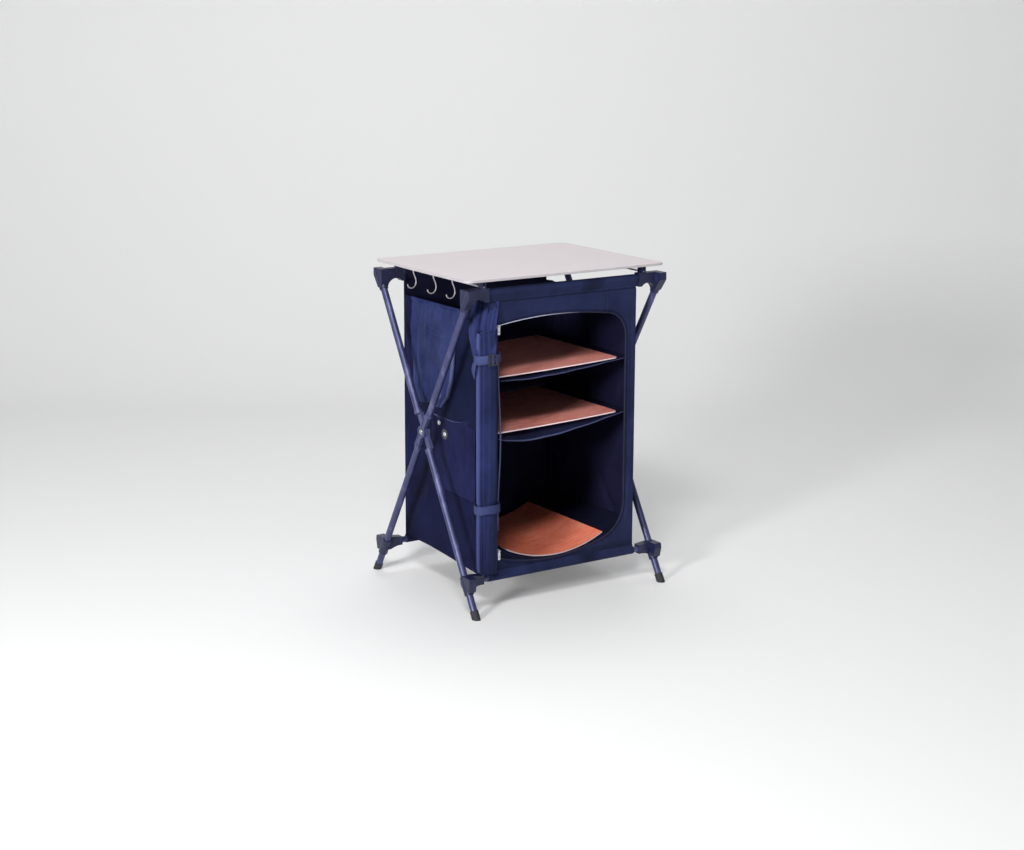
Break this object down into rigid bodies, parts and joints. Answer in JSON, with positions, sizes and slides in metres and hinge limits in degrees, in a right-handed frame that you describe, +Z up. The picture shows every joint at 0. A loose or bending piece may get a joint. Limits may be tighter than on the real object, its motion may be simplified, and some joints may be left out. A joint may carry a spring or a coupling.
{
  "type": "folding camping shelf",
  "caption": "Folding camping shelf: worktop on two crossed tube frames, zipped fabric cabinet with three shelf boards, side rods and hooks.",
  "frame": {"origin": "centre of the footprint on the floor", "axes": "+X along the worktop's width to the right seen from the door side, +Y from the door side to the back, +Z up"},
  "size_m": [0.6028, 0.529, 0.85],
  "materials": {
    "board_top": "satin laminate",
    "board_rim": "satin",
    "tube": "satin",
    "moulding": "fine texture",
    "link": "satin",
    "rubber": "matte",
    "rivet": "satin",
    "rod": "bright",
    "rail": "satin",
    "fabric": "woven, slightly sheened",
    "webbing": "ribbed webbing",
    "zip": "woven tape",
    "zip_metal": "bright",
    "shelf": "printed grain, satin",
    "trim": "gloss"
  },
  "bodies": {
    "hub": {"pivot_rivets": "rivet", "pivot_washers": "rivet"},
    "frame_a": {"leg_a_left_upper": "tube", "leg_a_left_lower": "tube", "leg_a_right_upper": "tube", "leg_a_right_lower": "tube", "link_a_left": "link", "link_a_right": "link", "top_bracket_back_left": "moulding", "top_bracket_back_right": "moulding", "top_rail_back": "rail", "feet_front": "rubber"},
    "frame_b": {"leg_b_left_upper": "tube", "leg_b_left_lower": "tube", "leg_b_right_upper": "tube", "leg_b_right_lower": "tube", "link_b_left": "link", "link_b_right": "link", "top_bracket_front_left": "moulding", "top_bracket_front_right": "moulding", "top_rail_front": "rail", "feet_back": "rubber"},
    "front_carriage": {"slide_bracket_front_left": "moulding", "slide_bracket_front_right": "moulding", "bottom_rail_front": "rail"},
    "back_carriage": {"slide_bracket_back_left": "moulding", "slide_bracket_back_right": "moulding", "bottom_rail_back": "rail"},
    "cabinet": {"side_wall_left": "fabric", "side_wall_right": "fabric", "floor_panel": "fabric", "sling_upper": "fabric", "sling_middle": "fabric", "side_pocket": "fabric", "pocket_eyelet": "trim", "pocket_stud": "zip_metal", "gear_bag": "fabric"},
    "front_face": {"front_panel": "fabric", "zip_tape": "zip", "zip_slider_upper": "zip_metal", "zip_slider_lower": "zip_metal", "door_roll": "fabric", "door_strap_upper": "webbing", "door_strap_lower": "webbing", "strap_buckle": "trim"},
    "back_face": {"back_panel": "fabric"},
    "upper_pull": {"zip_pull_upper": "zip_metal"},
    "lower_pull": {"zip_pull_lower": "zip_metal"},
    "worktop": {"worktop_board": "board_top", "worktop_rim": "board_rim"},
    "side_rods": {"side_rod_left": "rod", "side_rod_right": "rod"},
    "hook_1": {"hook_1": "rod"},
    "hook_2": {"hook_2": "rod"},
    "hook_3": {"hook_3": "rod"},
    "upper_shelf": {"shelf_board_upper": "shelf"},
    "middle_shelf": {"shelf_board_middle": "shelf"},
    "floor_shelf": {"shelf_board_floor": "shelf"}
  },
  "joints": [
    {"name": "fold", "type": "hinge", "parent": "hub", "child": "frame_a", "pos_m": [0, 0, 0.43185], "axis": [1, 0, 0], "range_deg": [0, 17.5], "deforming": ["front_panel", "back_panel", "side_wall_left", "side_wall_right", "floor_panel", "sling_upper", "sling_middle", "side_pocket", "gear_bag", "zip_tape"]},
    {"name": "fold_other_pair", "type": "hinge", "parent": "hub", "child": "frame_b", "pos_m": [0, 0, 0.43185], "axis": [1, 0, 0], "range_deg": [-17.51, 0]},
    {"name": "front_rail_slide", "type": "slide", "parent": "frame_a", "child": "front_carriage", "axis": [0, 0.504, 0.8637], "range_m": [0, 0.09188]},
    {"name": "back_rail_slide", "type": "slide", "parent": "frame_b", "child": "back_carriage", "axis": [0, -0.504, 0.8637], "range_m": [0, 0.09188]},
    {"name": "cabinet_rise", "type": "slide", "parent": "hub", "child": "cabinet", "axis": [0, 0, 1], "range_m": [0, 0.04401]},
    {"name": "front_face_in", "type": "slide", "parent": "cabinet", "child": "front_face", "axis": [0, 1, 0], "range_m": [0, 0.1291]},
    {"name": "back_face_in", "type": "slide", "parent": "cabinet", "child": "back_face", "axis": [0, -1, 0], "range_m": [0, 0.1291]},
    {"name": "worktop_lift", "type": "slide", "parent": "hub", "child": "worktop", "axis": [0, 0, 1], "range_m": [0, 0.26001]},
    {"name": "side_rods_lift", "type": "slide", "parent": "hub", "child": "side_rods", "axis": [0, 0, 1], "range_m": [0, 0.22001]},
    {"name": "upper_shelf_out", "type": "slide", "parent": "hub", "child": "upper_shelf", "axis": [0, -1, 0], "range_m": [0, 0.42001]},
    {"name": "middle_shelf_out", "type": "slide", "parent": "hub", "child": "middle_shelf", "axis": [0, -1, 0], "range_m": [0, 0.42001]},
    {"name": "floor_shelf_out", "type": "slide", "parent": "hub", "child": "floor_shelf", "axis": [0, -0.9417, 0.3363], "range_m": [0, 0.44599]},
    {"name": "hook_1_swing", "type": "hinge", "parent": "side_rods", "child": "hook_1", "pos_m": [-0.243, 0.13478, 0.829], "axis": [0, 1, 0], "range_deg": [-35, 35]},
    {"name": "hook_2_swing", "type": "hinge", "parent": "side_rods", "child": "hook_2", "pos_m": [-0.243, 0.03404, 0.829], "axis": [0, 1, 0], "range_deg": [-35, 35]},
    {"name": "hook_3_swing", "type": "hinge", "parent": "side_rods", "child": "hook_3", "pos_m": [-0.243, -0.05796, 0.829], "axis": [0, 1, 0], "range_deg": [-35, 35]},
    {"name": "upper_pull_swing", "type": "hinge", "parent": "front_face", "child": "upper_pull", "pos_m": [-0.2, -0.21455, 0.73], "axis": [-1, 0, 0], "range_deg": [0, 80]},
    {"name": "lower_pull_swing", "type": "hinge", "parent": "front_face", "child": "lower_pull", "pos_m": [-0.198, -0.21455, 0.153], "axis": [-1, 0, 0], "range_deg": [0, 80]}
  ],
  "couplings": [
    {"joint": "fold_other_pair", "follows": "fold", "ratio": -1},
    {"joint": "front_rail_slide", "follows": "fold", "m_per_rad": 0.30077},
    {"joint": "back_rail_slide", "follows": "fold", "m_per_rad": 0.30077},
    {"joint": "cabinet_rise", "follows": "fold", "m_per_rad": 0.14407},
    {"joint": "front_face_in", "follows": "fold", "m_per_rad": 0.42266},
    {"joint": "back_face_in", "follows": "fold", "m_per_rad": 0.42266},
    {"joint": "worktop_lift", "follows": "fold", "m_per_rad": 0.85125},
    {"joint": "side_rods_lift", "follows": "fold", "m_per_rad": 0.72029},
    {"joint": "upper_shelf_out", "follows": "fold", "m_per_rad": 1.3751},
    {"joint": "middle_shelf_out", "follows": "fold", "m_per_rad": 1.3751},
    {"joint": "floor_shelf_out", "follows": "fold", "m_per_rad": 1.4602}
  ]
}
